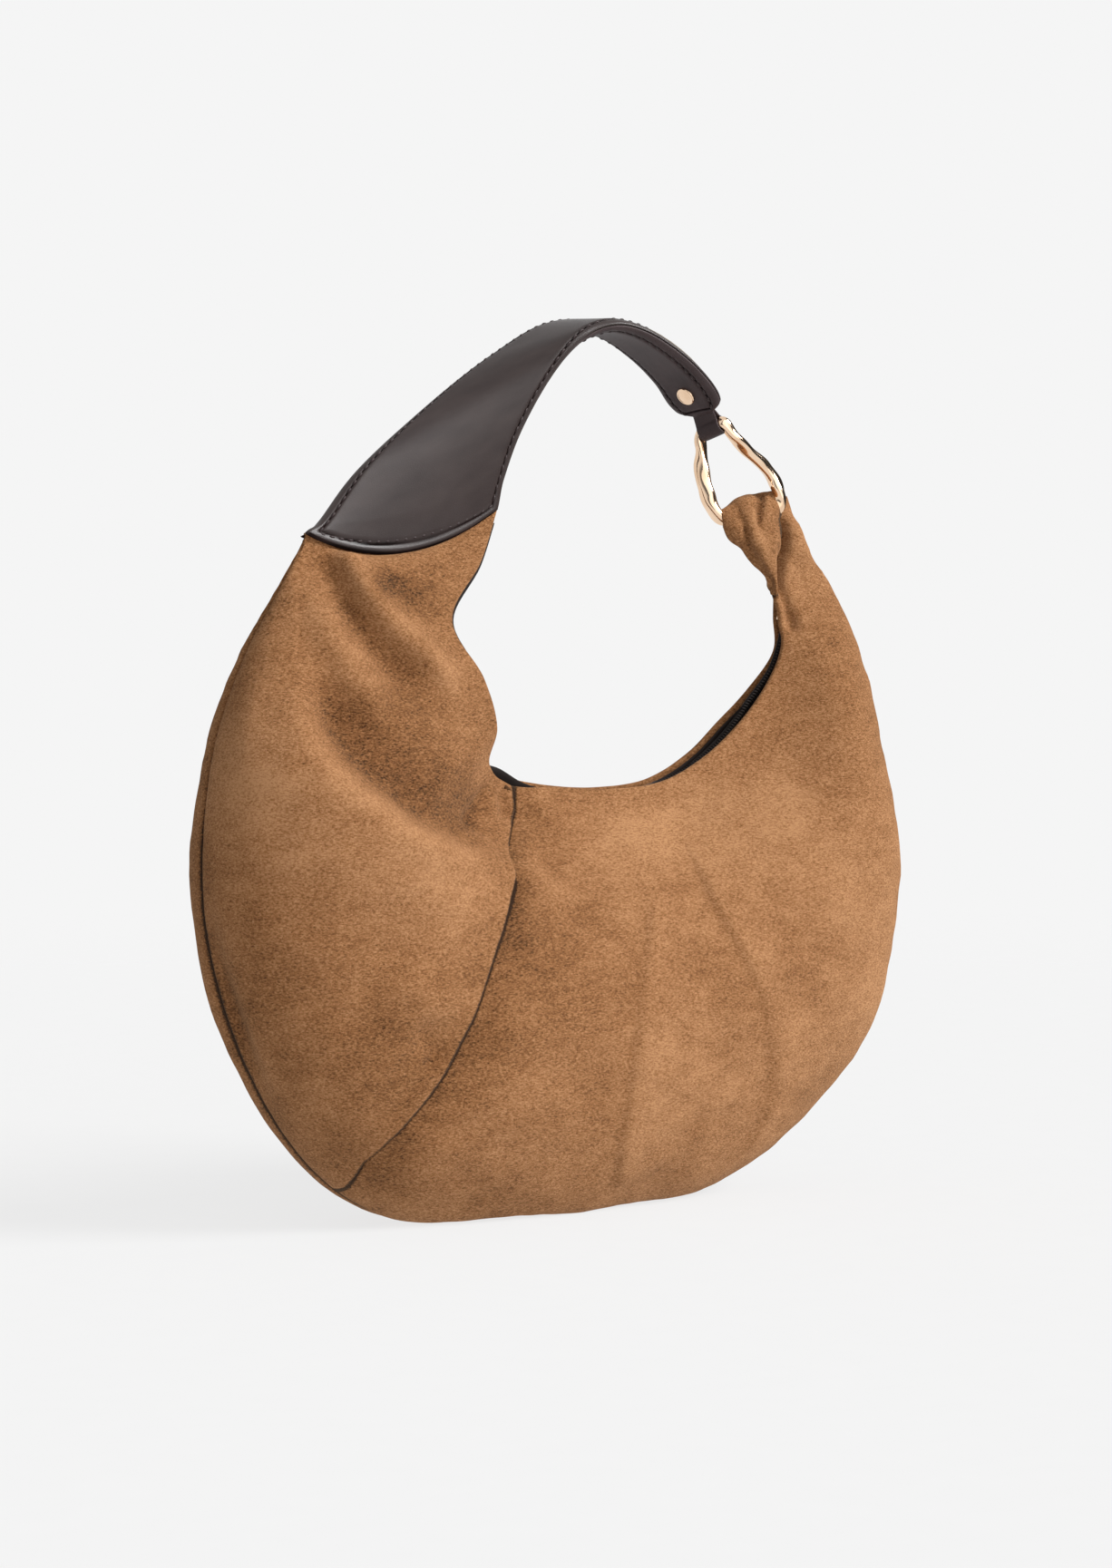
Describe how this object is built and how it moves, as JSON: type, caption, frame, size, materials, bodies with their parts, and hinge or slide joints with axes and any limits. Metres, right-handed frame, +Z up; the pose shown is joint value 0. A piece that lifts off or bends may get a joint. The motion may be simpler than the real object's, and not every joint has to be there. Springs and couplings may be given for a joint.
{
  "type": "hobo bag",
  "caption": "Crescent-shaped soft suede hobo bag that stands by itself, with a zipped mouth and a leather handle joined to a metal ring.",
  "frame": {"origin": "on the ground, under the middle of the bag's bounding box", "axes": "+X towards the ring end of the handle, +Y to the back, so the pleated front faces -Y, +Z up"},
  "size_m": [0.38, 0.104, 0.4104],
  "materials": {
    "suede": "camel faux suede with a short mottled nap",
    "leather": "dark brown smooth leather, fine grain, soft sheen",
    "gold": "polished pale gold, hand-hammered",
    "lining": "woven brown lining cloth",
    "zip_tape": "woven dark brown tape",
    "zip_coil": "dark brown nylon coil",
    "filler": "bonded fibre reinforcement"
  },
  "bodies": {
    "bag": {"draped_front_panel": "suede", "main_front_panel": "suede", "back_panel": "suede", "ring_loop": "suede", "mouth_facing_front": "leather", "mouth_facing_back": "leather", "lining_front": "lining", "lining_back": "lining", "slip_pocket": "lining", "zip_tape_front": "zip_tape", "zip_tape_back": "zip_tape", "zip_coil_front": "zip_coil", "zip_coil_back": "zip_coil", "zip_bottom_stop": "gold", "zip_top_stop_front": "gold", "zip_top_stop_back": "gold"},
    "handle": {"strap_outer_ply": "leather", "strap_lining_ply": "leather", "strap_filler": "filler", "chape": "leather", "rivet_head": "gold", "rivet_cap": "gold"},
    "ring": {"ring": "gold"},
    "slider": {"zip_slider": "gold"},
    "puller": {"zip_puller": "gold"}
  },
  "joints": [
    {"name": "handle_fold", "type": "hinge", "parent": "bag", "child": "handle", "pos_m": [0.107, 0, 0.321], "axis": [0.9915, 0, 0.13], "range_deg": [-75, 75]},
    {"name": "ring_swivel", "type": "hinge", "parent": "bag", "child": "ring", "pos_m": [0.107, 0, 0.321], "axis": [0.9915, 0, 0.13], "range_deg": [-75, 75]},
    {"name": "zip_slide", "type": "hinge", "parent": "bag", "child": "slider", "pos_m": [0.024, 0, 0.292], "axis": [0, -1, 0], "range_deg": [0, 140]},
    {"name": "puller_swing", "type": "hinge", "parent": "slider", "child": "puller", "pos_m": [-0.06527, 0, 0.25037], "axis": [0, -1, 0], "range_deg": [0, 150]}
  ],
  "couplings": [
    {"joint": "ring_swivel", "follows": "handle_fold", "ratio": 1}
  ]
}
